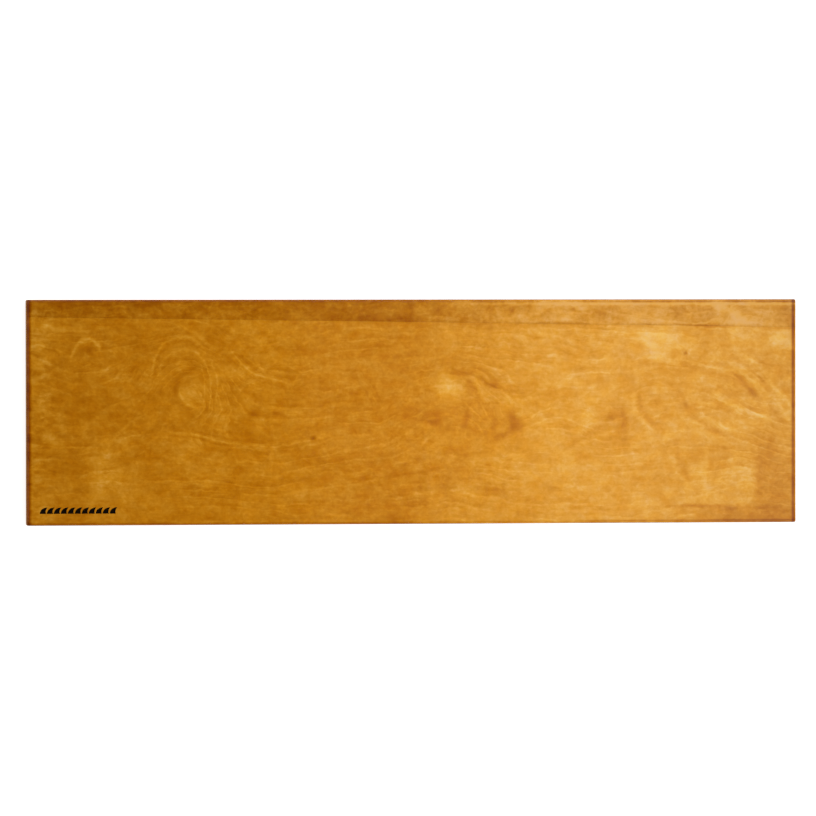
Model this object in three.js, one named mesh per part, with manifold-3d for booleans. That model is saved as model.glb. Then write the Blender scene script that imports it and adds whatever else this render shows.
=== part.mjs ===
// A varnished birch plywood board: thirteen veneers glued into one rigid sheet, every edge rounded over.
// The face ply is spliced from a wide sheet and a narrow strip that widens towards one end.
//
// Millimetres, +Z up. The board lies flat with its face up and stands on its back veneer. The origin is
// the centre of the underside, +X runs along the length and +Y points to the edge with the strip.

import * as THREE from "three";
import { mergeVertices } from "three/addons/utils/BufferGeometryUtils.js";
import Module from "manifold-3d";

// Board
const LENGTH = 915;
const WIDTH = 265;
const THICKNESS = 18;
const EDGE_RADIUS = 3; // roundover along every edge of both faces
const CORNER_RADIUS = 2; // upright corners, seen from above
const ARC_DETAIL = 4; // three.js puts two facets on an arc for each of these

// Veneers
const PLY_COUNT = 13;
const INNER_PLY = 1.375;
const OUTER_PLY = (THICKNESS - (PLY_COUNT - 2) * INNER_PLY) / 2;

// Splice in the face ply
const STRIP_WIDTH_NARROW = 20; // at the -X end
const STRIP_WIDTH_WIDE = 33; // at the +X end
const SPLICE_GAP = 0.3;

// How far the cutting solids run past the board
const OVERRUN = 5;

const COLOURS = { main: 0xc98a2a, strip: 0xb5782a, back: 0xc0852f, crossband: 0x8a5a26, core: 0xb98440 };

const wasm = await Module();
wasm.setup();

function toSolid(geometry) {
  const bare = geometry.clone();
  bare.deleteAttribute("normal");
  bare.deleteAttribute("uv");
  const merged = mergeVertices(bare);
  const mesh = new wasm.Mesh({
    numProp: 3,
    vertProperties: new Float32Array(merged.attributes.position.array),
    triVerts: new Uint32Array(merged.index.array),
  });
  return new wasm.Manifold(mesh);
}

function toGeometry(solid) {
  const mesh = solid.getMesh();
  const geometry = new THREE.BufferGeometry();
  geometry.setAttribute("position", new THREE.BufferAttribute(mesh.vertProperties, 3));
  geometry.setIndex(new THREE.BufferAttribute(mesh.triVerts, 1));
  geometry.computeVertexNormals();
  return geometry;
}

// A rectangle centred on x, from bottom to top in y, with quarter-round corners.
function roundedRectangle(width, bottom, top, radius) {
  const right = width / 2;
  const shape = new THREE.Shape();
  shape.moveTo(-right + radius, bottom);
  shape.lineTo(right - radius, bottom);
  shape.absarc(right - radius, bottom + radius, radius, -Math.PI / 2, 0);
  shape.lineTo(right, top - radius);
  shape.absarc(right - radius, top - radius, radius, 0, Math.PI / 2);
  shape.lineTo(-right + radius, top);
  shape.absarc(-right + radius, top - radius, radius, Math.PI / 2, Math.PI);
  shape.lineTo(-right, bottom + radius);
  shape.absarc(-right + radius, bottom + radius, radius, Math.PI, 1.5 * Math.PI);
  return shape;
}

// A prism from start to end along its own +Z, turned so that its x, y and z axes lie along the given ones.
function prism(shape, start, end, xAxis, yAxis, zAxis) {
  const geometry = new THREE.ExtrudeGeometry(shape, {
    depth: end - start,
    bevelEnabled: false,
    curveSegments: ARC_DETAIL,
  });
  geometry.translate(0, 0, start);
  geometry.applyMatrix4(new THREE.Matrix4().makeBasis(xAxis, yAxis, zAxis));
  return toSolid(geometry);
}

// The whole board before it is told apart into veneers: the plan outline, cut to the rounded cross-section
// and to the rounded lengthwise section.
function makeBlank() {
  const x = new THREE.Vector3(1, 0, 0);
  const y = new THREE.Vector3(0, 1, 0);
  const z = new THREE.Vector3(0, 0, 1);
  const plan = roundedRectangle(LENGTH, -WIDTH / 2, WIDTH / 2, CORNER_RADIUS);
  const crossSection = roundedRectangle(WIDTH, 0, THICKNESS, EDGE_RADIUS);
  const longSection = roundedRectangle(LENGTH, 0, THICKNESS, EDGE_RADIUS);
  const reachX = LENGTH / 2 + OVERRUN;
  const reachY = WIDTH / 2 + OVERRUN;
  const outline = prism(plan, -OVERRUN, THICKNESS + OVERRUN, x, y, z);
  const lengthwise = prism(crossSection, -reachX, reachX, y, z, x);
  const crosswise = prism(longSection, -reachY, reachY, x, z, y.clone().negate());
  return outline.intersect(lengthwise).intersect(crosswise);
}

// The layer of the blank between two heights.
function layer(blank, bottom, top) {
  const slab = new THREE.BoxGeometry(LENGTH + 2 * OVERRUN, WIDTH + 2 * OVERRUN, top - bottom);
  slab.translate(0, 0, (bottom + top) / 2);
  return blank.intersect(toSolid(slab));
}

// The y of the splice at a given x, on its centre line.
function spliceAt(x) {
  const share = x / LENGTH + 0.5;
  return WIDTH / 2 - THREE.MathUtils.lerp(STRIP_WIDTH_NARROW, STRIP_WIDTH_WIDE, share);
}

// One side of the splice, as an upright prism that covers the board from the splice out to outerY.
function spliceSide(outerY) {
  const reach = LENGTH / 2 + OVERRUN;
  const offset = (Math.sign(outerY) * SPLICE_GAP) / 2;
  const corners = [
    new THREE.Vector2(-reach, spliceAt(-reach) + offset),
    new THREE.Vector2(reach, spliceAt(reach) + offset),
    new THREE.Vector2(reach, outerY),
    new THREE.Vector2(-reach, outerY),
  ];
  const geometry = new THREE.ExtrudeGeometry(new THREE.Shape(corners), {
    depth: THICKNESS + 2 * OVERRUN,
    bevelEnabled: false,
  });
  geometry.translate(0, 0, -OVERRUN);
  return toSolid(geometry);
}

function addPiece(group, name, solid, colour, roughness) {
  const material = new THREE.MeshStandardMaterial({ color: colour, roughness, metalness: 0 });
  const mesh = new THREE.Mesh(toGeometry(solid), material);
  mesh.name = name;
  group.add(mesh);
}

function addFacePly(group, solid) {
  const outerY = WIDTH / 2 + OVERRUN;
  addPiece(group, "face_veneer_main", solid.intersect(spliceSide(-outerY)), COLOURS.main, 0.3);
  addPiece(group, "face_veneer_strip", solid.intersect(spliceSide(outerY)), COLOURS.strip, 0.3);
}

// Plies are numbered from the face down. Even plies run across the board, odd ones along it.
function addInnerPly(group, solid, ply) {
  const kind = ply % 2 === 0 ? "crossband" : "core";
  const number = String(ply).padStart(2, "0");
  addPiece(group, `${kind}_veneer_${number}`, solid, COLOURS[kind], 0.5);
}

const board = new THREE.Group();
const blank = makeBlank();
let top = THICKNESS;
for (let ply = 1; ply <= PLY_COUNT; ply++) {
  const outer = ply === 1 || ply === PLY_COUNT;
  const bottom = top - (outer ? OUTER_PLY : INNER_PLY);
  const solid = layer(blank, bottom, top);
  if (ply === 1) addFacePly(board, solid);
  else if (ply === PLY_COUNT) addPiece(board, "back_veneer", solid, COLOURS.back, 0.35);
  else addInnerPly(board, solid, ply);
  top = bottom;
}

export default board;
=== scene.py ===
"""The looks of a varnished birch plywood board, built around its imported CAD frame.

Places and sizes of solids are in metres, as in the frame. The figure of the wood is drawn in millimetres
from the middle of the face, x along the board and y across it.
"""

import math
from collections import namedtuple

import bmesh
import bpy
import numpy as np
from mathutils import Matrix, Vector, noise


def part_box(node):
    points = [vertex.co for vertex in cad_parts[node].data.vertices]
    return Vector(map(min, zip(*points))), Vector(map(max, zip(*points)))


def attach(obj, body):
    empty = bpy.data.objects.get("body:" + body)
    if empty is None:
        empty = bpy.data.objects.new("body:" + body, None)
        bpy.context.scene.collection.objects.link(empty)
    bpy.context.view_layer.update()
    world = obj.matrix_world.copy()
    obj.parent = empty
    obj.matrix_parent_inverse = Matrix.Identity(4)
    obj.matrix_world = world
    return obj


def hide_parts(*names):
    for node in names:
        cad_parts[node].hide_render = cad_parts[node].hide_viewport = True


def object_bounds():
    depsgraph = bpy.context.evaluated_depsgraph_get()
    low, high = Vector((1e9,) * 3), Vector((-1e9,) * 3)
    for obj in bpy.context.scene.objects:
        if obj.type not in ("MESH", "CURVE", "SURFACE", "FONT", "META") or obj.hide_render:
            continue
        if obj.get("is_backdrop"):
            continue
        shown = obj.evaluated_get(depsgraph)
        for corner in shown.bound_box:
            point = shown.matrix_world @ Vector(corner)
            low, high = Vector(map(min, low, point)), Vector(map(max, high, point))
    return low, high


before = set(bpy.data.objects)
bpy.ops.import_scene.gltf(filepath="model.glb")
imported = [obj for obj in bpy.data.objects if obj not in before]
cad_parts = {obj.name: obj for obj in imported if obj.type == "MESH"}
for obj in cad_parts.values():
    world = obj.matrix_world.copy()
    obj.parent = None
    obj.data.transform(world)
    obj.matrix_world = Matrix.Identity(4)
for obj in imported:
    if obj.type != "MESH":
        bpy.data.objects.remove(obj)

LOW, HIGH = (Vector(corner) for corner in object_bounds())
HALF = (HIGH - LOW) / 2
THICKNESS = HIGH.z - LOW.z

# Board, in metres
MM = 0.001
EDGE_RADIUS = 3 * MM
CORNER_RADIUS = 2 * MM
SPLICE_GAP = 0.14 * MM  # between the two face veneers, as glued
GLUE_GROOVE = 0.05 * MM  # how far sanding sinks each glue line
PLY_WAVE = 0.07 * MM  # how far each glue line wanders up and down
FACE_WAVE = 0.05 * MM  # how far the face is from dead flat

# Where the roundovers begin, in millimetres from the middle of the board
END_EDGE = (HALF.x - EDGE_RADIUS) / MM
SIDE_EDGE = (HALF.y - EDGE_RADIUS) / MM

# Mesh detail, in metres
OUTLINE_STEP = 5 * MM
GRID_STEP = 10 * MM
CAP_INSET = 6 * MM  # where the hidden flat of each veneer begins
CORNER_STEPS = 6
RINGS_PER_PLY = 9

# Camera: a long lens almost straight above, turned a little to the board's -X end
CAMERA_DISTANCE = 8.0
CAMERA_TURN = math.radians(-7.12)
CAMERA_TILT = math.radians(-0.87)
CAMERA_ROLL = math.radians(-0.06)
CAMERA_LENS = 298.8
CAMERA_AIM = Vector((-0.0060, 0.0043, 0.009))


# ---------------------------------------------------------------------------------------------------
# Shader nodes


NOISE_GAIN = 9.0  # spreads a noise texture's narrow band round 0.5 to a standard deviation near 1


class Signal:
    """One number that varies over a surface. Python's operators add the math nodes that combine them."""

    def __init__(self, graph, socket):
        self.graph = graph
        self.socket = socket

    def __add__(self, other):
        return self.graph.math("ADD", self, other)

    def __sub__(self, other):
        return self.graph.math("SUBTRACT", self, other)

    def __rsub__(self, other):
        return self.graph.math("SUBTRACT", other, self)

    def __mul__(self, other):
        return self.graph.math("MULTIPLY", self, other)

    def __abs__(self):
        return self.graph.math("ABSOLUTE", self)


class Graph:
    """The node tree of one material or world, with short ways to add nodes and wire them up."""

    def __init__(self, tree):
        self.tree = tree
        tree.nodes.clear()

    def put(self, socket, value):
        if isinstance(value, Signal):
            value = value.socket
        if isinstance(value, bpy.types.NodeSocket):
            self.tree.links.new(value, socket)
        else:
            socket.default_value = value

    def add(self, kind, inputs=None, **settings):
        node = self.tree.nodes.new(kind)
        for name, value in settings.items():
            setattr(node, name, value)
        for key, value in (inputs or {}).items():
            self.put(node.inputs[key], value)
        return node

    def math(self, operation, *values):
        node = self.add("ShaderNodeMath", dict(enumerate(values)), operation=operation)
        return Signal(self, node.outputs[0])

    def bell(self, x):
        """exp(-x * x): 1 in the middle, falling to almost nothing at 2."""
        return self.math("POWER", math.exp(-1), x * x)

    def line(self, distance, width):
        """1 where distance is 0, falling to almost nothing at twice the width on either side."""
        return self.bell(distance * (1 / width))

    def step(self, value, start, end):
        """0 up to start, 1 from end on, and smooth between them."""
        inputs = {"Value": value, "From Min": start, "From Max": end}
        node = self.add("ShaderNodeMapRange", inputs, interpolation_type="SMOOTHSTEP", clamp=False)
        return Signal(self, node.outputs["Result"])

    def millimetres(self):
        """The point being shaded, in the board's own frame, as a vector in millimetres."""
        place = self.add("ShaderNodeTexCoord").outputs["Object"]
        scaled = self.add("ShaderNodeVectorMath", {0: place, "Scale": 1 / MM}, operation="SCALE")
        return scaled.outputs[0]

    def axes(self, vector):
        node = self.add("ShaderNodeSeparateXYZ", {0: vector})
        return [Signal(self, output) for output in node.outputs]

    def facing(self):
        """How much the surface faces along x, y and z, each from 0 to 1."""
        normal = self.add("ShaderNodeTexCoord").outputs["Normal"]
        return [abs(axis) for axis in self.axes(normal)]

    def noise(self, place, size, detail=2.0, rough=0.5, seed=0.0):
        """Soft noise, mostly within -2 to 2. size is that of its spots in millimetres along x, y and z."""
        scale = tuple(1 / length for length in size)
        inputs = {"Vector": place, "Location": (seed, seed * 1.7, seed * 0.3), "Scale": scale}
        spot = self.add("ShaderNodeMapping", inputs).outputs[0]
        inputs = {"Vector": spot, "Scale": 1.0, "Detail": detail, "Roughness": rough}
        node = self.add("ShaderNodeTexNoise", inputs)
        return (Signal(self, node.outputs["Fac"]) - 0.5) * NOISE_GAIN

    def shifted(self, place, size, distance, seed):
        """place pushed about by noise in x and y, by up to roughly the given distance."""
        along = self.noise(place, size, 2.0, 0.5, seed) * distance
        across = self.noise(place, size, 2.0, 0.5, seed + 9.0) * distance
        push = self.add("ShaderNodeCombineXYZ", {0: along, 1: across})
        return self.vector("ADD", place, push.outputs[0])

    def vector(self, operation, *values):
        return self.add("ShaderNodeVectorMath", dict(enumerate(values)), operation=operation).outputs[0]

    def local(self, place, x, y, rx, ry, tilt=0.0):
        """place measured from (x, y) in units of the radii, turned by tilt degrees."""
        near = self.vector("SUBTRACT", place, (x, y, 0))
        if tilt:
            sideways = self.vector("CROSS_PRODUCT", near, (0, 0, math.tan(math.radians(tilt))))
            near = self.vector("ADD", near, sideways)
        shrink = math.cos(math.radians(tilt))
        return self.vector("MULTIPLY", near, (shrink / rx, shrink / ry, 0))

    def length(self, vector):
        node = self.add("ShaderNodeVectorMath", {0: vector}, operation="LENGTH")
        return Signal(self, node.outputs["Value"])

    def dot(self, vector, direction):
        node = self.add("ShaderNodeVectorMath", {0: vector, 1: direction}, operation="DOT_PRODUCT")
        return Signal(self, node.outputs["Value"])

    def spot(self, place, x, y, rx, ry, tilt=0.0):
        """1 at (x, y), falling to almost nothing at two radii from it."""
        return self.bell(self.length(self.local(place, x, y, rx, ry, tilt)))

    def mix(self, share, first, second):
        node = self.add("ShaderNodeMix", data_type="RGBA")
        for socket, value in zip((node.inputs[0], node.inputs[6], node.inputs[7]), (share, first, second)):
            self.put(socket, value)
        return node.outputs[2]

    def bump(self, height, distance, strength=1.0):
        inputs = {"Height": height, "Distance": distance, "Strength": strength}
        return self.add("ShaderNodeBump", inputs).outputs[0]


def new_material(name):
    material = bpy.data.materials.new(name)
    material.use_nodes = True
    return material, Graph(material.node_tree)


def finish_material(graph, inputs):
    shader = graph.add("ShaderNodeBsdfPrincipled", inputs)
    graph.add("ShaderNodeOutputMaterial", {"Surface": shader.outputs[0]})


# ---------------------------------------------------------------------------------------------------
# The figure of the veneers, in millimetres

# A soft spot: centre, radii, turn in degrees, and how much lighter (+) or darker (-) it is
Spot = namedtuple("Spot", "x y rx ry tilt tone")
# A growth-ring line: part of an ellipse. aim is where its middle is seen from the centre, in degrees,
# and spread the angle to each end
Arc = namedtuple("Arc", "x y rx ry aim spread width tone")

MAIN_SPOTS = [
    # eye at the left
    Spot(-262, 19, 9, 13, -25, 3.7),
    Spot(-281, 34, 5, 15, -12, -2.3),
    Spot(-216, 46, 24, 8, 12, 3.4),
    Spot(-226, -10, 9, 7, 30, 3.2),
    Spot(-190, -2, 6, 3.5, 0, -7),
    Spot(-163, -2, 6, 3, 0, -6.5),
    Spot(-146, -2, 8, 4, 10, 2.6),
    Spot(-225, 85, 20, 12, -35, -2.1),
    # hazy patch over the print, and the curly left end
    Spot(-377, -80, 12, 30, 4, 4.2),
    Spot(-352, -88, 24, 24, 0, 3.6),
    Spot(-364, -62, 18, 20, 0, 3.6),
    Spot(-442, 94, 12, 14, 0, 3.4),
    Spot(-416, 101, 8, 8, 0, 2.1),
    Spot(-440, 66, 13, 12, 0, 1.8),
    Spot(-432, 12, 14, 12, 0, 1.8),
    Spot(-413, -18, 9, 9, 0, 1.8),
    Spot(-389, -16, 6, 9, 0, 2.8),
    Spot(-425, -32, 16, 5, -14, 2.3),
    Spot(-355, -34, 24, 4, -6, 2.1),
    # bright patch and dark streaks in the middle
    Spot(38, 30, 15, 13, 0, 6.2),
    Spot(50, 23, 12, 9, 0, 2.8),
    Spot(52, 45, 11, 4, -22, -2.8),
    Spot(96, 31, 9, 3.5, -18, -4.6),
    Spot(67, 24, 5, 12, 12, -2.3),
    Spot(114, 13, 11, 7, -20, 3.4),
    Spot(116, -6, 5, 8, 10, -6.5),
    Spot(122, -17, 9, 7, 0, -6.5),
    Spot(65, -14, 75, 24, -8, -0.8),
    Spot(107, -28, 11, 4, 25, -6),
    Spot(61, -10, 3.5, 12, -12, -4.5),
    Spot(20, -12, 18, 4, -14, -4),
    Spot(8, 0, 20, 3, -10, -3),
    Spot(95, -12, 4.5, 12, 0, -3.6),
    Spot(69, -22, 5, 6, 0, -2.1),
    Spot(24, -46, 10, 6, 0, 2.1),
    Spot(59, -50, 8, 4, 0, -1.8),
    # swirl and curls at the right
    Spot(206, -6, 8, 15, 0, 3.9),
    Spot(216, 13, 7, 4, 20, 2.8),
    Spot(238, -6, 12, 8, 0, -3.8),
    Spot(250, -16, 5, 14, 0, -3.4),
    Spot(240, -38, 11, 4, 0, -1.6),
    Spot(300, 84, 34, 11, -12, 4.2),
    Spot(291, 68, 18, 9, -40, 3),
    Spot(380, 92, 12, 10, 0, 2.4),
    Spot(325, 7, 5, 6, 0, -5.1),
    Spot(336, 7, 3, 4, 0, -2.3),
    Spot(317, 21, 10, 3, -52, -2.5),
    Spot(404, 4, 10, 3.5, -20, -3.4),
    Spot(405, 21, 6, 4, -20, -3.2),
    Spot(440, 82, 15, 10, -15, 5),
    Spot(438, -85, 22, 48, 0, -4.2),
    Spot(400, -126, 70, 15, 0, -5.6),
    Spot(400, -50, 40, 26, 0, -1.4),
    Spot(372, 92, 5, 6, 0, -2.1),
    Spot(345, -80, 22, 9, 0, 1.6),
    Spot(393, -66, 14, 45, 0, 1.8),
    Spot(404, -95, 7, 30, 0, 1.6),
    Spot(413, -76, 6, 26, -3, -3.9),
    Spot(427, -45, 5, 12, 0, -1.6),
    # brown streaks near the lower edge
    Spot(338, -113, 38, 2.2, -2, -4.6),
    Spot(381, -116, 9, 3, 0, -4.1),
    Spot(418, -115, 8, 2.2, 12, -3.2),
    Spot(225, -116, 45, 2.2, 0, -1.8),
    Spot(190, -116, 8, 3, 0, -2.3),
    Spot(130, -92, 30, 2.5, 3, -2.1),
    # pin knots
    Spot(-120, -31, 3.2, 2.8, 0, -11.5),
    Spot(325, 68, 2.8, 2.4, 0, -11.5),
]

# Where the surface that the growth rings cut is folded up (+) or down (-), in ring widths
MAIN_FOLDS = [
    Spot(-266, 26, 46, 58, 0, -6.5),
    Spot(-395, 20, 50, 80, 0, 1.5),
    Spot(-190, 95, 60, 40, -20, 2),
    Spot(-225, -25, 60, 26, -12, 1.5),
    Spot(42, 8, 60, 50, 0, -3.2),
    Spot(118, -10, 26, 34, 0, 2.2),
    Spot(236, -12, 36, 34, 0, 1.6),
    Spot(330, -10, 50, 40, 0, -2),
    Spot(395, -60, 34, 60, 0, -1.2),
    Spot(470, 25, 100, 85, 0, 4.5),
]
BACK_FOLDS = [
    Spot(-120, 20, 110, 60, 0, 4),
    Spot(230, -40, 130, 50, 0, -5),
]
STRIP_FOLDS = [
    Spot(340, 150, 60, 50, 0, 2.5),
    Spot(395, 112, 30, 16, 0, -1.6),
    Spot(-60, 130, 60, 26, 0, 1.2),
]

MAIN_ARCS = [
    # arch at the far left
    Arc(-386, 57, 19, 29, 100, 84, 5.5, 6),
    Arc(-386, 50, 11, 24, 90, 60, 7.5, -3),
    # rings round the eye
    Arc(-275, 35, 36, 55, 112, 72, 4.1, 3.1),
    Arc(-275, 35, 33, 49, 112, 66, 4.7, -1.8),
    Arc(-272, 35, 31, 39, 100, 84, 3.8, 3.1),
    Arc(-280, 38, 46, 62, 60, 24, 6.3, 2.8),
    Arc(-258, 25, 23, 27, 140, 70, 6.3, -2.5),
    Arc(-258, 25, 17, 20, 235, 60, 4.1, 3.4),
    Arc(-290, 28, 43, 60, 2, 32, 2.5, 2.5),
    Arc(-290, 28, 50, 64, 2, 30, 2.5, 2.8),
    Arc(-290, 28, 57, 68, 4, 26, 2.5, 2.1),
    # fan of rings running down to the right
    Arc(-148, 117, 82, 82, 242, 32, 2.8, 3.6),
    Arc(-148, 117, 77, 77, 244, 28, 2.6, -2.4),
    Arc(-148, 117, 72, 72, 247, 28, 2.8, 2.6),
    Arc(-148, 117, 88, 88, 240, 26, 2.6, -2),
    Arc(-148, 117, 94, 94, 236, 22, 2.8, 1.8),
    Arc(-212, -100, 150, 170, 76, 22, 3.2, 1.9),
    Arc(-240, -60, 90, 150, 62, 22, 3.2, 1.8),
    # long curve under the eye
    Arc(-290, -225, 200, 200, 79, 12, 3.4, 2),
    Arc(-290, -225, 196, 196, 79, 12, 3.8, -1.9),
    Arc(-300, -235, 200, 205, 80, 13, 3.2, 1.5),
    Arc(-178, -2, 108, 37, 265, 62, 3.4, 2.4),
    Arc(-178, -2, 117, 42, 268, 60, 3.4, 1.9),
    Arc(-178, -2, 100, 33, 262, 50, 4.2, -1.8),
    # middle
    Arc(-112, -12, 66, 66, 36, 20, 2.7, -1.4),
    Arc(-112, -12, 71, 71, 36, 20, 2.7, 1.4),
    Arc(-112, -12, 77, 77, 34, 20, 2.7, -1.4),
    Arc(30, -75, 124, 124, 67, 14, 5.1, -3.1),
    Arc(30, -75, 118, 119, 66, 12, 3.6, 1.4),
    Arc(50, 12, 27, 27, 28, 48, 6, -2),
    Arc(50, 12, 34, 34, 20, 45, 4.5, 1.5),
    Arc(18, 20, 40, 32, 272, 48, 4.5, -2),
    Arc(18, 20, 46, 38, 272, 44, 3.9, 1.5),
    Arc(18, 20, 52, 45, 268, 40, 4.5, -1.4),
    Arc(0, -120, 150, 130, 82, 14, 3.9, -1.5),
    Arc(-40, 40, 95, 95, 297, 22, 3.9, -1.4),
    Arc(-40, 40, 102, 102, 297, 22, 3.9, 1.2),
    Arc(-20, 20, 120, 95, 285, 24, 4.5, -1.2),
    # swirl
    Arc(232, -14, 21, 19, 40, 50, 9.8, -1.8),
    Arc(240, -75, 66, 56, 118, 36, 7.8, -2.5),
    Arc(240, -75, 58, 48, 100, 40, 7.8, 1),
    # curls right of the swirl
    Arc(300, 12, 30, 28, 215, 50, 8.8, -2.6),
    Arc(300, 12, 37, 35, 205, 48, 5.9, 2.5),
    Arc(370, -38, 57, 57, 195, 34, 6.6, -1.8),
    Arc(398, -65, 50, 70, 180, 28, 7.8, 1.3),
    Arc(370, -38, 48, 48, 200, 40, 7.8, 1.3),
    # long diagonals at the right
    Arc(340, -68, 122, 122, 58, 38, 4.6, 2.6),
    Arc(340, -68, 132, 132, 55, 36, 4.6, 2),
    Arc(340, -68, 113, 113, 54, 34, 5.2, -1.8),
    Arc(340, -25, 80, 80, 40, 24, 6.2, -3.2),
    Arc(340, -25, 88, 88, 42, 26, 4.7, 1.8),
    Arc(340, -25, 97, 97, 44, 26, 5.9, -1.7),
    Arc(340, -25, 106, 106, 42, 24, 4.7, 1.7),
    Arc(340, -25, 114, 114, 38, 20, 5.9, -1.7),
    Arc(420, 75, 80, 80, 247, 30, 5.9, 3.5),
    Arc(420, 75, 72, 72, 240, 26, 5.9, -1.8),
    Arc(400, 60, 84, 84, 239, 14, 6.2, 2.5),
    Arc(400, 60, 92, 94, 242, 18, 6.2, -1.6),
    Arc(500, 160, 190, 185, 243, 8, 4.7, 2.6),
    # sloping rings under the splice at the right
    Arc(100, -160, 262, 252, 76, 10, 4.7, -1.7),
    Arc(100, -160, 262, 258, 76, 10, 4.3, 1.6),
    Arc(100, -160, 262, 242, 73, 10, 4.7, -1.7),
]

STRIP_SPOTS = [
    Spot(-60, 110, 22, 5, 0, -3.7),
    Spot(-20, 108, 18, 4, 0, -3.2),
    Spot(-140, 117, 22, 5, -25, 2.8),
    Spot(-175, 120, 12, 6, 0, 2.3),
    Spot(-395, 124, 30, 3, 0, 1.6),
    Spot(36, 118, 9, 12, 0, -3.4),
    Spot(117, 119, 3.5, 4, 0, -4.6),
    Spot(125, 112, 10, 4, 0, 2.8),
    Spot(191, 120, 3.5, 3, 0, -8),
    Spot(225, 116, 16, 10, 0, -2.8),
    Spot(262, 118, 12, 5, 0, -2.1),
    Spot(317, 117, 11, 8, 10, -3.9),
    Spot(347, 116, 12, 10, 0, -4.5),
    Spot(365, 124, 9, 5, -35, 6),
    Spot(386, 113, 22, 4, -32, 5.5),
    Spot(392, 105, 12, 4, 0, 7),
    Spot(425, 121, 14, 6, 0, 1.6),
    Spot(449, 116, 11, 15, 0, -4.1),
    Spot(290, 109, 14, 4, -10, 2.8),
    Spot(165, 108, 24, 3, 0, 1.6),
]

STRIP_ARCS = [
    Arc(280, 190, 80, 80, 262, 22, 3.6, -1.5),
    Arc(330, 180, 100, 76, 268, 18, 3.3, 1.5),
]


WARM_PATCH = (65, -14, 95, 34, -6)  # a redder part of the face: centre, radii, turn
RING_WIDTH = 14


def add_figure(graph, place, spots, arcs):
    """The sum of all listed spots and ring lines."""
    tone = 0.0
    for *shape, spot_tone in spots:
        tone = graph.math("MULTIPLY_ADD", graph.spot(place, *shape), spot_tone, tone)
    for arc in arcs:
        tone = graph.math("MULTIPLY_ADD", arc_line(graph, place, arc), arc.tone, tone)
    return tone


def arc_line(graph, place, arc):
    """1 on the middle of the arc's line, 0 away from it and past its ends."""
    near = graph.local(place, arc.x, arc.y, arc.rx, arc.ry)
    line = graph.line(graph.length(near) - 1.0, arc.width / (arc.rx + arc.ry))
    middle = math.radians(arc.aim)
    towards = graph.dot(near, (math.cos(middle), math.sin(middle), 0))
    edge = math.cos(math.radians(arc.spread))
    fade = (1 - edge) * 0.6
    return line * graph.step(towards, edge, edge + fade)


def ring_lines(graph, place, folds):
    """Growth rings, as the contour lines of a folded surface: a pale line and a darker band in each ring."""
    across = graph.axes(place)[1]
    height = across * (1 / RING_WIDTH) + graph.noise(place, (230, 80, 100), 3.0, 0.5, 11.0) * 0.6
    for *shape, rise in folds:
        height = graph.math("MULTIPLY_ADD", graph.spot(place, *shape), rise, height)
    lines = ring_profile(graph, height, 1.0) + ring_profile(graph, height + 0.3, 3.0) * 0.45
    return lines * graph.step(graph.noise(place, (50, 22, 50), 2.0, 0.6, 17.0), -1.4, 1.6)


def ring_profile(graph, height, rate):
    """rate rings for each unit of height: a pale line in the middle of each, and a wider dark one past it."""
    phase = graph.math("FRACT", height * rate)
    return graph.line(phase - 0.5, 0.14) - graph.line(phase - 0.76, 0.17) * 0.7


def fibres(graph, place):
    """Fine streaks along the grain, at three sizes."""
    broad = graph.noise(place, (50, 3.4, 20), 2.0, 0.5, 1.0)
    middle = graph.noise(place, (12, 1.5, 20), 2.0, 0.6, 2.0)
    fine = graph.noise(place, (7, 0.35, 20), 2.0, 0.6, 3.0)
    return broad * 0.32 + middle * 0.12 + fine * 0.12


def curl(graph, place, seed):
    """Cloudy patches across the grain, where the fibres dip and reflect differently."""
    fleck = graph.noise(place, (2.6, 2.4, 20), 2.0, 0.6, seed + 7)
    small = graph.noise(place, (5.5, 4.5, 20), 2.0, 0.6, seed)
    large = graph.noise(place, (16, 13, 20), 2.0, 0.6, seed + 3)
    cloud = graph.noise(place, (60, 38, 40), 2.0, 0.5, seed + 5)
    return fleck * 0.3 + small * 0.65 + large * 0.9 + cloud * 0.6


def splice_line(graph, place):
    """Distance from the splice in millimetres, positive on the strip's side."""
    point, across = splice_plane()
    return graph.dot(place, across) - point.dot(across) / MM


# ---------------------------------------------------------------------------------------------------
# Colours, in linear light. Tones are steps of lightness: one step is about 5% more red and 8% more green

MAIN_BASE = (0.460, 0.1650, 0.0034)
STRIP_BASE = (0.362, 0.1180, 0.0014)
BACK_BASE = (0.36, 0.142, 0.008)
LONG_GRAIN_BASE = (0.33, 0.135, 0.012)
END_GRAIN_BASE = (0.145, 0.047, 0.006)
FULL_INK = (0.004, 0.002, 0.001, 1)
THIN_INK = (0.035, 0.015, 0.003, 1)

TONE_RISE = (1.046, 1.079, 1.34)  # what one step of tone multiplies red, green and blue by
BLUSH_FADE = (1.008, 0.99, 0.82)  # the same for one step of blush
PALEST_TONE = 13.5
TONE_ROLLOFF = 9.0  # how gently tones approach the palest one
PALEST_RED = 0.70
RED_ROLLOFF = 0.25

# The face veneers' tones. Left is the -X end, a shade darkens and a light lightens
RING_CONTRAST = 1.4
LEFT_CONTRAST = 1.4
CONTRAST_LOSS = 0.15  # towards the right
LEFT_GAIN = 1.6  # from the left end to the eye
OVERALL_SHADE = 0.8
SEAM_SHADE = 3.4
SEAM_LIGHT = 1.6
LEFT_END_SHADE = 13.0
LEFT_LINE_SHADE = 5.0
RIGHT_END_SHADE = 18.0
LEFT_SIDE_SHADE = 4.5
RIGHT_SIDE_SHADE = 10.0
# painted highlight: a pale line just inside the +Y roundover, where the varnish would reflect the light
PAINTED_EDGE_HIGHLIGHT = 6.5


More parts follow.
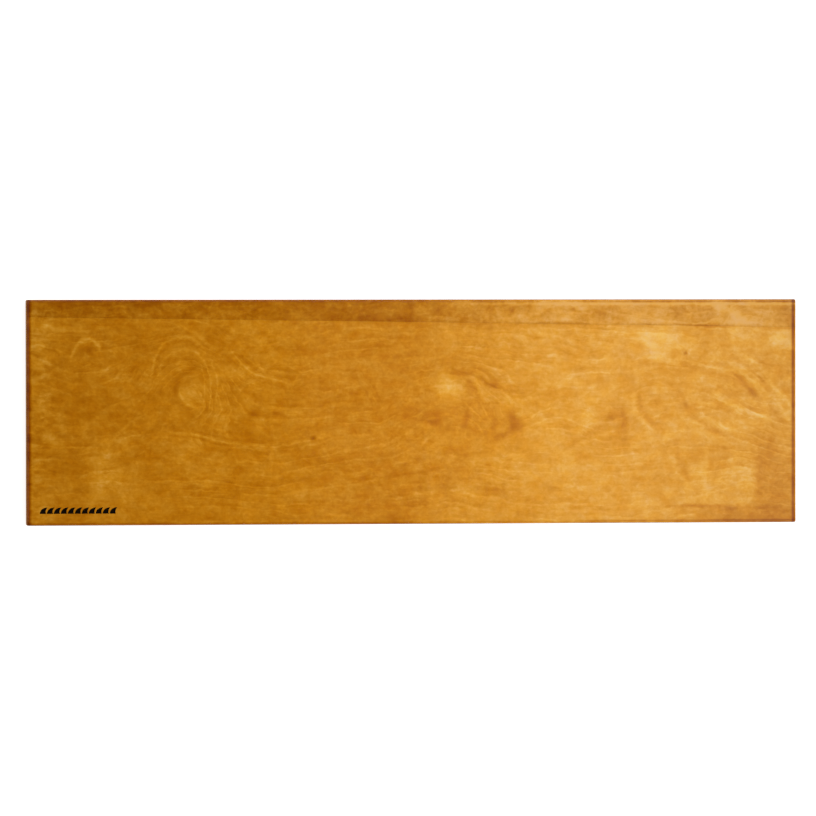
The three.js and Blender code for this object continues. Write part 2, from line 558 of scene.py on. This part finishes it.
def wood_colour(graph, tone, base, blush=None):
    """base at tone 0. A lighter tone is also paler and less saturated, a darker one redder, as is a blush."""
    tone = graph.math("SMOOTH_MIN", tone, PALEST_TONE, TONE_ROLLOFF)
    channels = [graph.math("POWER", rise, tone) * level for rise, level in zip(TONE_RISE, base)]
    channels[0] = graph.math("SMOOTH_MIN", channels[0], PALEST_RED, RED_ROLLOFF)
    if blush is not None:
        shifts = [graph.math("POWER", fade, blush) for fade in BLUSH_FADE]
        channels = [channel * shift for channel, shift in zip(channels, shifts)]
    return graph.add("ShaderNodeCombineColor", dict(enumerate(channels))).outputs[0]


def face_tone(graph, tone, along, bent, right_tone_and_painted_light):
    """The tone with its drift along the board: mottled and pale at the -X end, and lighter towards +X, partly
    as the veneer's own paler tone and partly as painted light from the +X side.
    """
    mottled_end = graph.step(along, -400, -448)
    mottle = graph.noise(bent, (12, 6, 20), 2.0, 0.5, 45.0) * 1.6 + 1.8
    tone = tone + mottled_end * mottle
    tone = tone + graph.step(along, -420, -230) * LEFT_GAIN
    # painted light: part of this lift towards +X stands in for the key light falling from the +X side
    return tone + graph.step(along, -60, 200) * right_tone_and_painted_light - OVERALL_SHADE


def seam_tone(graph, tone, along, bent):
    """The tone with the splice: a dark glue line, and beyond it a pale one on the strip's side."""
    seam = splice_line(graph, bent)
    tone = tone - graph.line(seam, 1.7) * graph.step(along, -200, 220) * SEAM_SHADE
    return tone + graph.line(seam - 4.0, 2.4) * graph.step(along, 120, 260) * SEAM_LIGHT


def roundover_tone(graph, tone, place, along, across):
    """The tone darkened on and beside the roundovers: across the -X end's, in a line at the +X end's, across
    the sides' towards -X and in a line along them towards +X.

    A painted highlight, a pale line, runs just inside the +Y one towards +X, where the varnish would reflect
    the light.
    """
    patchiness = graph.noise(place, (60, 25, 20), 2.0, 0.6, 41.0) * 0.15 + 1.0
    left = graph.step(along, 4.0 - END_EDGE, -0.5 - END_EDGE) * LEFT_END_SHADE
    left = left + graph.line(along + END_EDGE + 0.7, 1.6) * LEFT_LINE_SHADE
    right = graph.line(along - END_EDGE + 0.5, 1.6) * RIGHT_END_SHADE
    past_side = graph.step(abs(across), SIDE_EDGE - 0.6, SIDE_EDGE + 0.8)
    left_sides = past_side * (1.0 - graph.step(along, -100, 200)) * LEFT_SIDE_SHADE
    side_line = graph.line(abs(across) - SIDE_EDGE - 0.3, 1.3)
    right_sides = side_line * graph.step(along, 0, 440) * RIGHT_SIDE_SHADE
    tone = tone - (left + right + left_sides + right_sides) * patchiness
    # painted highlight: a pale line just inside the +Y roundover, towards +X
    rim = graph.line(across - SIDE_EDGE + 2.2, 1.8)
    return tone + rim * graph.step(along, -50, 200) * PAINTED_EDGE_HIGHLIGHT


def face_material(name, base, spots, arcs, folds, curliness, right_tone_and_painted_light):
    """Rotary-cut birch under a gloss varnish, which is worn thin on the roundovers.

    curliness scales the cloudy patches. The last argument is how much lighter the +X half is, partly the
    veneer's own paler tone and partly painted light from the +X side.
    """
    material, graph = new_material(name)
    place = graph.millimetres()
    bent = graph.shifted(graph.shifted(place, (34, 26, 30), 0.9, 21.0), (8, 6, 8), 0.4, 27.0)
    along, across, _ = graph.axes(place)
    grain = fibres(graph, bent)
    clouds = curl(graph, bent, 31.0)
    tone = ring_lines(graph, bent, folds) * RING_CONTRAST + grain + clouds * curliness
    contrast = LEFT_CONTRAST - graph.step(along, -120, 220) * CONTRAST_LOSS
    tone = tone * contrast
    tone = tone + add_figure(graph, bent, spots, arcs)
    tone = face_tone(graph, tone, along, bent, right_tone_and_painted_light)
    tone = seam_tone(graph, tone, along, bent)
    tone = roundover_tone(graph, tone, place, along, across)

    worn = graph.math(
        "MAXIMUM",
        graph.step(abs(along), END_EDGE + 0.5, END_EDGE + 2.5),
        graph.step(abs(across), SIDE_EDGE + 0.5, SIDE_EDGE + 2.5),
    )
    warm_patch = graph.spot(place, *WARM_PATCH)
    blush = graph.noise(bent, (17, 12, 20), 2.0, 0.5, 57.0) + warm_patch * 1.6

    finish_material(graph, {
        "Base Color": wood_colour(graph, tone, base, blush),
        "Roughness": 0.45,
        "Specular IOR Level": 0.0,
        "Normal": graph.bump(grain, 0.006 * MM, 0.4),
        "Coat Weight": (graph.step(grain + clouds, -4.0, 4.0) * 0.4 + 0.6) * (1.0 - worn * 0.75),
        "Coat Roughness": 0.09,
        "Coat IOR": 1.5,
        "Coat Normal": graph.bump(graph.noise(place, (7, 6, 7), 3.0, 0.6, 51.0), 0.01 * MM, 1.0),
    })
    return material


def edge_material(name, grain_axis, seed):
    """The sanded and varnished edge of one inner veneer: dark where fibres end, lighter along them.

    The fibres run along x where grain_axis is 0 and along y where it is 1.
    """
    material, graph = new_material(name)
    place = graph.millimetres()
    facing = graph.facing()
    ends = graph.step(facing[grain_axis], 0.4, 0.9)
    streaks = graph.noise(place, (18, 18, 0.25), 3.0, 0.6, seed)
    pores = graph.noise(place, (0.5, 0.5, 0.35), 2.0, 0.6, seed + 3)
    blotch = graph.noise(place, (55, 55, 9), 2.0, 0.5, seed + 6)
    tone = streaks + pores * 0.7 + blotch * 0.9
    light = wood_colour(graph, tone, LONG_GRAIN_BASE)
    dark = wood_colour(graph, tone, END_GRAIN_BASE)
    finish_material(graph, {
        "Base Color": graph.mix(ends, light, dark),
        "Roughness": 0.55,
        "Specular IOR Level": 0.0,
        "Normal": graph.bump(pores + streaks * 0.5, 0.02 * MM, 0.5),
        "Coat Weight": 0.2,
        "Coat Roughness": 0.25,
    })
    return material


def back_material():
    """Plain birch under a satin varnish, darker over the ends than over the sides."""
    material, graph = new_material("back_birch")
    place = graph.millimetres()
    bent = graph.shifted(place, (34, 26, 30), 1.0, 61.0)
    facing = graph.facing()
    tone = ring_lines(graph, bent, BACK_FOLDS) * 1.6 + fibres(graph, bent) + curl(graph, bent, 71.0) * 0.8
    tone = tone - graph.step(facing[0], 0.08, 0.75) * 7.0 - graph.step(facing[1], 0.12, 0.85) * 4.0
    finish_material(graph, {
        "Base Color": wood_colour(graph, tone, BACK_BASE),
        "Roughness": 0.5,
        "Specular IOR Level": 0.0,
        "Normal": graph.bump(fibres(graph, place), 0.015 * MM, 0.4),
        "Coat Weight": 0.6,
        "Coat Roughness": 0.2,
    })
    return material


def ink_material():
    """Black ink, browner where it is printed thin."""
    material, graph = new_material("black_ink")
    place = graph.millimetres()
    thin = graph.step(graph.noise(place, (6, 0.4, 5), 2.0, 0.6, 81.0), 0.6, 2.6)
    finish_material(graph, {
        "Base Color": graph.mix(thin, FULL_INK, THIN_INK),
        "Roughness": 0.5,
        "Specular IOR Level": 0.0,
        "Coat Weight": 0.25,
        "Coat Roughness": 0.15,
    })
    return material


# ---------------------------------------------------------------------------------------------------
# Veneers


def outline():
    """The board's rounded rectangle, anticlockwise: for each point its arc centre and its normal.

    The centres run from -1 to 1 in x and y. place_outline turns both into places.
    """
    centres, normals = [], []
    corners = [(1, 1), (-1, 1), (-1, -1), (1, -1)]
    for quarter, corner in enumerate(corners):
        for step in range(CORNER_STEPS + 1):
            angle = math.radians(90 * (quarter + step / CORNER_STEPS))
            centres.append(corner)
            normals.append((math.cos(angle), math.sin(angle)))
        following = corners[(quarter + 1) % 4]
        side = abs(following[0] - corner[0]) * HALF.x + abs(following[1] - corner[1]) * HALF.y
        count = round(side / OUTLINE_STEP)
        for step in range(1, count):
            share = step / count
            centres.append([a + (b - a) * share for a, b in zip(corner, following)])
            normals.append(normals[-1])
    return np.array(centres), np.array(normals)


CENTRES, NORMALS = outline()


def place_outline(inset):
    """The outline's points after moving in by inset, one number or one for each point."""
    inset = np.broadcast_to(inset, len(CENTRES))[:, None]
    reach = np.array((HALF.x, HALF.y)) - CORNER_RADIUS - inset
    return CENTRES * reach + NORMALS * CORNER_RADIUS


def edge_inset(height):
    """How far the roundover moves the edge in at a height."""
    depth = np.minimum(height, THICKNESS - height)
    missing = np.clip(EDGE_RADIUS - depth, 0, EDGE_RADIUS)
    return EDGE_RADIUS - np.sqrt(EDGE_RADIUS**2 - missing**2)


def run_to_depth(run):
    """The depth below the face after walking that far over the roundover and down the side."""
    quarter = EDGE_RADIUS * math.pi / 2
    return np.where(run < quarter, EDGE_RADIUS * (1 - np.cos(run / EDGE_RADIUS)), EDGE_RADIUS + run - quarter)


def depth_to_run(depth):
    """The inverse of run_to_depth, for one number."""
    if depth < EDGE_RADIUS:
        return EDGE_RADIUS * math.acos(1 - depth / EDGE_RADIUS)
    return EDGE_RADIUS * math.pi / 2 + depth - EDGE_RADIUS


def ring_shares(bottom, top):
    """Shares of a veneer's thickness, from 0 to 1, evenly spaced along the edge's profile."""
    flip = bottom + top < THICKNESS
    upper, lower = (bottom, top) if flip else (THICKNESS - top, THICKNESS - bottom)
    runs = np.linspace(depth_to_run(upper), depth_to_run(lower), RINGS_PER_PLY)
    shares = (run_to_depth(runs) - upper) / (lower - upper)
    return shares if flip else 1 - shares[::-1]


def glue_line(height, number):
    """A glue line's height at each outline point. The outermost faces stay flat."""
    if number in (0, PLY_COUNT):
        return np.full(len(CENTRES), height)
    points = place_outline(0) / (70 * MM)
    return height + PLY_WAVE * np.array([noise.noise((x, y, 5.3 * number)) for x, y in points])


def veneer_rings(ply, bottom, top):
    """The rings of points round one veneer, from its underside to its upper side."""
    low, high = glue_line(bottom, PLY_COUNT - ply), glue_line(top, PLY_COUNT - ply + 1)
    rings = []
    for share in ring_shares(bottom, top):
        height = low + (high - low) * share
        below, above = math.exp(-share / 0.1), math.exp(-(1 - share) / 0.1)
        groove = GLUE_GROOVE * (below * (ply != PLY_COUNT) + above * (ply != 1))
        rings.append(np.column_stack((place_outline(edge_inset(height) + groove), height)))
    if ply != PLY_COUNT:
        rings.insert(0, flat_ring(bottom))
    if ply != 1:
        rings.append(flat_ring(top))
    return rings


def flat_ring(height):
    """A ring on the hidden flat of a veneer, well inside its edge."""
    inner = place_outline(edge_inset(height) + CAP_INSET)
    return np.column_stack((inner, np.full(len(inner), height)))


def loft(rings):
    """A closed bmesh through rings of equal length, with a flat cap at each end."""
    mesh = bmesh.new()
    rows = [[mesh.verts.new(point) for point in ring] for ring in rings]
    count = len(rows[0])
    for lower, upper in zip(rows, rows[1:]):
        for i in range(count):
            j = (i + 1) % count
            mesh.faces.new((lower[i], lower[j], upper[j], upper[i]))
    mesh.faces.new(reversed(rows[0]))
    mesh.faces.new(rows[-1])
    return mesh


def cut(mesh, faces, point, normal, keep_front=False):
    """Cuts faces along a plane. keep_front throws away what lies behind it and closes the opening."""
    edges = {edge for face in faces for edge in face.edges}
    verts = {vert for face in faces for vert in face.verts}
    geometry = list(verts) + list(edges) + list(faces)
    bmesh.ops.bisect_plane(mesh, geom=geometry, plane_co=point, plane_no=normal, clear_inner=keep_front)
    if keep_front:
        rim = [edge for edge in mesh.edges if edge.is_boundary]
        bmesh.ops.holes_fill(mesh, edges=rim, sides=0)


def top_faces(mesh):
    """The faces of the flat top."""
    mesh.normal_update()
    floor = HIGH.z - 0.01 * MM
    return [face for face in mesh.faces if face.normal.z > 0.9999 and face.calc_center_median().z > floor]


def grid_top(mesh):
    """Divides the flat top into small cells, so that it can undulate."""
    for axis, half in ((0, HALF.x), (1, HALF.y)):
        normal = Vector((axis == 0, axis == 1, 0))
        lines = int(half / GRID_STEP)
        for line in range(-lines, lines + 1):
            cut(mesh, top_faces(mesh), normal * line * GRID_STEP, normal)


def face_wave(x, y):
    """How far the face stands above or below dead flat."""
    return FACE_WAVE * noise.noise((x / 0.15, y / 0.09, 3.7))


def wave_top(mesh, bottom):
    """Moves the top by face_wave and fades the movement out towards the bottom."""
    for vert in mesh.verts:
        share = (vert.co.z - bottom) / (HIGH.z - bottom)
        vert.co.z += face_wave(vert.co.x, vert.co.y) * max(share, 0) ** 4


def splice_plane():
    """A point on the splice between the face veneers and the direction across it, towards the strip."""
    main_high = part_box("face_veneer_main")[1]
    strip_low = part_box("face_veneer_strip")[0]
    left = Vector((LOW.x, main_high.y, 0))
    right = Vector((HIGH.x, strip_low.y, 0))
    along = (right - left).normalized()
    return (left + right) / 2, Vector((-along.y, along.x, 0))


def add_object(name, mesh, material, slot, *nodes):
    """Makes a piece of a bmesh that rides on the board's body and stands for the given CAD nodes."""
    bmesh.ops.recalc_face_normals(mesh, faces=mesh.faces)
    data = bpy.data.meshes.new(name)
    mesh.to_mesh(data)
    mesh.free()
    data.polygons.foreach_set("use_smooth", [True] * len(data.polygons))
    data.set_sharp_from_angle(angle=math.radians(40))
    data.materials.append(material)
    piece = bpy.data.objects.new(name, data)
    bpy.context.scene.collection.objects.link(piece)
    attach(piece, "root")
    if nodes:
        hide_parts(*nodes)


def add_face_veneer(name, side, material, slot, node):
    """One side of the spliced face ply: side is 1 for the strip and -1 for the main sheet."""
    low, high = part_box("face_veneer_main")
    mesh = loft(veneer_rings(1, low.z, high.z))
    grid_top(mesh)
    point, across = splice_plane()
    cut(mesh, list(mesh.faces), point + across * side * SPLICE_GAP / 2, across * side, keep_front=True)
    wave_top(mesh, low.z)
    add_object(name, mesh, material, slot, node)


def add_veneer(ply, node, material, slot):
    """One of the plies under the face ply."""
    low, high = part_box(node)
    mesh = loft(veneer_rings(ply, low.z, high.z))
    add_object(f"ply_{ply:02d}", mesh, material, slot, node)


def inner_nodes():
    """The CAD nodes of the inner plies by ply number."""
    found = {}
    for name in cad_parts:
        tail = name.rsplit("_", 1)[-1]
        if tail.isdigit():
            found[int(tail)] = name
    return found


INNER = inner_nodes()
PLY_COUNT = max(INNER) + 1  # the back veneer has no number in its name


def add_veneers():
    # the last number of each is how much lighter its +X half is, partly painted light from the +X side
    main = face_material("face_birch", MAIN_BASE, MAIN_SPOTS, MAIN_ARCS, MAIN_FOLDS, 1.0, 5.6)
    strip = face_material("strip_birch", STRIP_BASE, STRIP_SPOTS, STRIP_ARCS, STRIP_FOLDS, 1.5, 9.4)
    add_face_veneer("ply_01_main", -1, main, "face_main", "face_veneer_main")
    add_face_veneer("ply_01_strip", 1, strip, "face_strip", "face_veneer_strip")
    for ply, node in sorted(INNER.items()):
        kind = node.split("_")[0]
        material = edge_material(node, 1 if kind == "crossband" else 0, 7.0 * ply)
        add_veneer(ply, node, material, kind)
    add_veneer(PLY_COUNT, "back_veneer", back_material(), "back")


# ---------------------------------------------------------------------------------------------------
# Printed mark: a plain row of wave crests

CREST_COUNT = 11
CREST_PITCH = 8.2 * MM
CREST_HEIGHT = 7.5 * MM
PRINT_START = Vector((LOW.x + 15.2 * MM, LOW.y + 14 * MM, 0))
PRINT_PROUD = 0.03 * MM


def curve_points(start, middle, end, count=8):
    """Points on a quadratic curve, without its end."""
    points = []
    for step in range(count):
        t = step / count
        points.append(start * (1 - t) ** 2 + middle * 2 * t * (1 - t) + end * t**2)
    return points


def crest_outline(origin):
    """One wave: a long back rising to a tip that leans over the next wave's foot."""
    width, height = CREST_PITCH, CREST_HEIGHT
    foot = Vector((0, 0, 0))
    tip = Vector((width * 1.12, height, 0))
    heel = Vector((width * 0.9, 0, 0))
    rise = curve_points(foot, Vector((width * 0.12, height * 0.95, 0)), tip)
    fall = curve_points(tip, Vector((width * 0.72, height * 0.5, 0)), heel)
    return [origin + point for point in rise + fall + [heel]]


def add_print():
    """The mark as one thin piece, half sunk in the face."""
    mesh = bmesh.new()
    for number in range(CREST_COUNT):
        origin = PRINT_START + Vector((number * CREST_PITCH, 0, 0))
        points = crest_outline(origin)
        layers = []
        for lift in (-PRINT_PROUD, PRINT_PROUD):
            heights = [HIGH.z + face_wave(p.x, p.y) + lift for p in points]
            layers.append([mesh.verts.new((p.x, p.y, z)) for p, z in zip(points, heights)])
        lower, upper = layers
        for i in range(len(points)):
            j = (i + 1) % len(points)
            mesh.faces.new((lower[i], lower[j], upper[j], upper[i]))
        mesh.faces.new(lower)
        mesh.faces.new(upper)
    add_object("print_mark", mesh, ink_material(), "print")


# ---------------------------------------------------------------------------------------------------
# Studio

FLOOR_RADIUS = 60.0
FLOOR_COLOUR = (0.86, 0.86, 0.86, 1)
FLOOR_GAP = 0.2 * MM  # keeps the underside clear of the floor
FLOOR_GLOW = 0.75  # lit from below, as a light table is, so that the board throws next to no shadow
HORIZON_LEVEL = 0.9
CEILING_LEVEL = 0.02
SOFTBOX_LEVEL = 0.98
SUN_STRENGTH = 0.56
SUN_SPREAD = math.radians(60)
KEY_SIZE = 0.5
KEY_POWER = 5.8


def add_floor():
    """A white floor with one side, so that it doesn't hide the underside from below."""
    material, graph = new_material("floor")
    shader = graph.add("ShaderNodeBsdfPrincipled", {
        "Base Color": FLOOR_COLOUR,
        "Roughness": 1.0,
        "Specular IOR Level": 0.0,
        "Emission Color": (1, 1, 1, 1),
        "Emission Strength": FLOOR_GLOW,
    })
    clear = graph.add("ShaderNodeBsdfTransparent")
    from_below = graph.add("ShaderNodeNewGeometry").outputs["Backfacing"]
    both = graph.add("ShaderNodeMixShader", {0: from_below, 1: shader.outputs[0], 2: clear.outputs[0]})
    graph.add("ShaderNodeOutputMaterial", {"Surface": both.outputs[0]})
    mesh = bmesh.new()
    bmesh.ops.create_circle(mesh, cap_ends=True, segments=96, radius=FLOOR_RADIUS)
    data = bpy.data.meshes.new("floor")
    mesh.to_mesh(data)
    mesh.free()
    data.materials.append(material)
    floor = bpy.data.objects.new("floor", data)
    floor.location.z = LOW.z - FLOOR_GAP
    bpy.context.scene.collection.objects.link(floor)
    floor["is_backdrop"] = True


def add_world():
    """A white horizon under a dim ceiling that is bright towards +X, as beside a large softbox."""
    world = bpy.data.worlds.new("studio")
    bpy.context.scene.world = world
    world.use_nodes = True
    graph = Graph(world.node_tree)
    direction = graph.add("ShaderNodeTexCoord").outputs["Generated"]
    east, _, up = graph.axes(direction)
    horizon = 1.0 - graph.step(up, 0.1, 0.55)
    softbox = graph.step(east, 0.139, 0.150) * (1.0 - graph.step(east, 0.45, 0.55)) * SOFTBOX_LEVEL
    level = graph.math("MAXIMUM", horizon * HORIZON_LEVEL, softbox) + CEILING_LEVEL
    colour = graph.add("ShaderNodeCombineColor", {0: level, 1: level, 2: level}).outputs[0]
    background = graph.add("ShaderNodeBackground", {"Color": colour, "Strength": 1.0})
    graph.add("ShaderNodeOutputWorld", {"Surface": background.outputs[0]})


def aim(thing, target):
    thing.rotation_euler = (target - thing.location).to_track_quat("-Z", "Y").to_euler()


def add_sun(name, place):
    data = bpy.data.lights.new(name, "SUN")
    data.energy = SUN_STRENGTH
    data.angle = SUN_SPREAD
    sun = bpy.data.objects.new(name, data)
    sun.location = place
    aim(sun, Vector())
    bpy.context.scene.collection.objects.link(sun)


def add_key(place):
    """A lamp that faces straight down and leaves no reflection in the varnish."""
    data = bpy.data.lights.new("key", "AREA")
    data.size = KEY_SIZE
    data.energy = KEY_POWER
    lamp = bpy.data.objects.new("key", data)
    lamp.location = place
    lamp.visible_glossy = False
    bpy.context.scene.collection.objects.link(lamp)


def add_lights():
    add_sun("fill", Vector((-1.5, 1.2, 2.2)))
    add_sun("top", Vector((1.5, 1.5, 2.0)))
    add_key(Vector((0.2, 0, 0.9)))


def add_camera():
    data = bpy.data.cameras.new("camera")
    data.lens = CAMERA_LENS
    data.clip_end = 4 * FLOOR_RADIUS
    camera = bpy.data.objects.new("camera", data)
    turn = Matrix.Rotation(CAMERA_TURN, 4, "Y") @ Matrix.Rotation(CAMERA_TILT, 4, "X")
    turn = turn @ Matrix.Rotation(CAMERA_ROLL, 4, "Z")
    camera.matrix_world = Matrix.Translation(CAMERA_AIM) @ turn @ Matrix.Translation((0, 0, CAMERA_DISTANCE))
    bpy.context.scene.collection.objects.link(camera)
    bpy.context.scene.camera = camera


bpy.context.scene.view_settings.view_transform = "Standard"
add_camera()
add_veneers()
add_print()
add_floor()
add_world()
add_lights()
